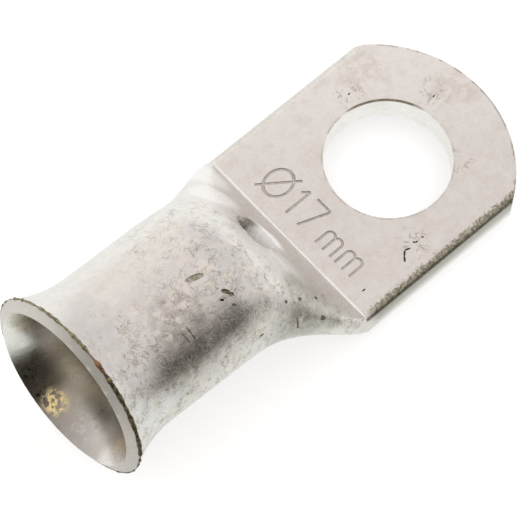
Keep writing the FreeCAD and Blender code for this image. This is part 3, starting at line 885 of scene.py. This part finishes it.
def white_world():
    """White backdrop, plain soft light for matt surfaces, and in mirrors a room bright on the window's side."""
    world = bpy.data.worlds.new("studio")
    bpy.context.scene.world = world
    world.use_nodes = True
    tree = world.node_tree
    background = tree.nodes["Background"]
    direction = shader_node(tree, "ShaderNodeTexCoord").outputs["Generated"]
    side, _, height = shader_node(tree, "ShaderNodeSeparateXYZ", {0: direction}).outputs
    way = total(tree, product(tree, dot(tree, direction, WINDOW_SIDE), 0.5), 0.5)
    room = colour_stops(tree, way, ROOM)
    room = blend(tree, ramp(tree, height, 0.05, 1.1), room, OVERHEAD)
    room = blend(tree, ramp(tree, side, 0.40, 0.64), room, END_WALL)
    room = blend(tree, product(tree, ramp(tree, side, 0.05, -0.40), 0.45), room, BLACK)
    corner = product(tree, ramp(tree, dot(tree, direction, DARK_CORNER), 0.30, 0.65), 0.84)
    room = blend(tree, corner, room, CORNER_TONE)
    path = shader_node(tree, "ShaderNodeLightPath").outputs
    room = blend(tree, path["Is Diffuse Ray"], room, PLAIN_LIGHT)
    tree.links.new(blend(tree, path["Is Camera Ray"], room, WHITE), background.inputs["Color"])
    background.inputs["Strength"].default_value = 1.0


def floor_finish(settings):
    """Pale floor that keeps the shadow, meets the white backdrop and dims away from the window in mirrors."""
    material, tree, shader, place = new_material("floor_card")
    path = shader_node(tree, "ShaderNodeLightPath").outputs
    mirrored = path["Is Glossy Ray"]
    way = shader_node(
        tree, "ShaderNodeMapRange",
        {"Value": dot(tree, place, WINDOW_SIDE), "From Min": FLOOR_FAR, "From Max": FLOOR_NEAR}).outputs["Result"]
    glow = blend(tree, mirrored, WHITE, colour_stops(tree, way, MIRRORED_FLOOR))
    base = blend(tree, mirrored, settings.floor_colour, BLACK)
    seen = product(tree, path["Is Camera Ray"], FLOOR_GLOW)
    tree.links.new(base, shader.inputs["Base Color"])
    tree.links.new(glow, shader.inputs["Emission Color"])
    tree.links.new(total(tree, seen, mirrored), shader.inputs["Emission Strength"])
    shader.inputs["Roughness"].default_value = 1.0
    shader.inputs["Specular IOR Level"].default_value = 0.0
    return material


def view_axes():
    """Right, up and backward directions of the camera."""
    back = Vector((
        math.sin(VIEW_AZIMUTH) * math.cos(VIEW_ELEVATION),
        -math.cos(VIEW_AZIMUTH) * math.cos(VIEW_ELEVATION),
        math.sin(VIEW_ELEVATION)))
    level = Vector((0, 0, 1)).cross(back).normalized()
    upright = back.cross(level)
    right = math.cos(VIEW_ROLL) * level + math.sin(VIEW_ROLL) * upright
    up = math.cos(VIEW_ROLL) * upright - math.sin(VIEW_ROLL) * level
    return right, up, back


def add_camera():
    """Camera at the photograph's viewing angle."""
    right, up, back = view_axes()
    place = back * VIEW_DISTANCE + right * VIEW_OFFSET[0] + up * VIEW_OFFSET[1]
    turn = Matrix((right, up, back)).transposed().to_euler()
    bpy.ops.object.camera_add(location=place, rotation=turn)
    camera = bpy.context.active_object
    camera.name = "view_camera"
    camera.data.lens = VIEW_FOCAL_PIXELS / FRAME_PIXELS * camera.data.sensor_width
    camera.data.clip_start = 10 * MM
    bpy.context.scene.camera = camera


def add_lamp(power):
    """Soft square lamp on the window's side, facing the lug."""
    turn = (Vector(LAMP_PLACE) - Vector(LAMP_TARGET)).to_track_quat("Z", "Y").to_euler()
    bpy.ops.object.light_add(type="AREA", location=LAMP_PLACE, rotation=turn)
    lamp = bpy.context.active_object
    lamp.name = "lamp_window"
    lamp.data.size = LAMP_SIZE
    lamp.data.energy = power


# Operators

class CABLELUG_OT_body(bpy.types.Operator):
    """Finish the lug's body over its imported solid"""

    bl_idname = "cablelug.body"
    bl_label = "Lug body"

    def execute(self, context):
        body = make_body(context.scene.cable_lug)
        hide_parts(NODE)
        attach(body, "root")
        return {"FINISHED"}


class CABLELUG_OT_bead(bpy.types.Operator):
    """Add the bead along the crease"""

    bl_idname = "cablelug.bead"
    bl_label = "Crease bead"

    def execute(self, context):
        bead = make_bead(context.scene.cable_lug)
        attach(bead, "root")
        return {"FINISHED"}


class CABLELUG_OT_burr(bpy.types.Operator):
    """Add the ragged burr round the mouth"""

    bl_idname = "cablelug.burr"
    bl_label = "Mouth burr"

    def execute(self, context):
        burr = make_burr(context.scene.cable_lug)
        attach(burr, "root")
        return {"FINISHED"}


class CABLELUG_OT_stage(bpy.types.Operator):
    """Set up the floor, the light and the camera"""

    bl_idname = "cablelug.stage"
    bl_label = "Stage"

    def execute(self, context):
        settings = context.scene.cable_lug_stage
        white_world()
        bpy.ops.mesh.primitive_plane_add(size=FLOOR_SIZE, location=(0, 0, FLOOR))
        floor = named("floor")
        settle(floor)
        floor.data.materials.append(floor_finish(settings))
        add_lamp(settings.lamp_power)
        add_camera()
        context.scene.view_settings.view_transform = "Standard"
        return {"FINISHED"}


class CABLELUG_PT_panel(bpy.types.Panel):
    """Steps and settings of the lug"""

    bl_idname = "CABLELUG_PT_panel"
    bl_label = "Cable Lug"
    bl_space_type = "VIEW_3D"
    bl_region_type = "UI"
    bl_category = "Cable Lug"

    def draw(self, context):
        for step in STEPS:
            self.layout.operator(step.bl_idname)
        for settings in (context.scene.cable_lug, context.scene.cable_lug_stage):
            for name in settings.__annotations__:
                self.layout.prop(settings, name)


STEPS = (CABLELUG_OT_body, CABLELUG_OT_bead, CABLELUG_OT_burr, CABLELUG_OT_stage)
CLASSES = (LugSettings, StageSettings, *STEPS, CABLELUG_PT_panel)


def register():
    """Register the classes and the scene's settings."""
    for kind in CLASSES:
        bpy.utils.register_class(kind)
    bpy.types.Scene.cable_lug = bpy.props.PointerProperty(type=LugSettings)
    bpy.types.Scene.cable_lug_stage = bpy.props.PointerProperty(type=StageSettings)


def unregister():
    """Take the classes and settings away again."""
    del bpy.types.Scene.cable_lug_stage
    del bpy.types.Scene.cable_lug
    for kind in reversed(CLASSES):
        bpy.utils.unregister_class(kind)


def main():
    """Run the steps in order."""
    register()
    bpy.ops.cablelug.body()
    bpy.ops.cablelug.bead()
    bpy.ops.cablelug.burr()
    bpy.ops.cablelug.stage()


if __name__ == "__main__":
    main()
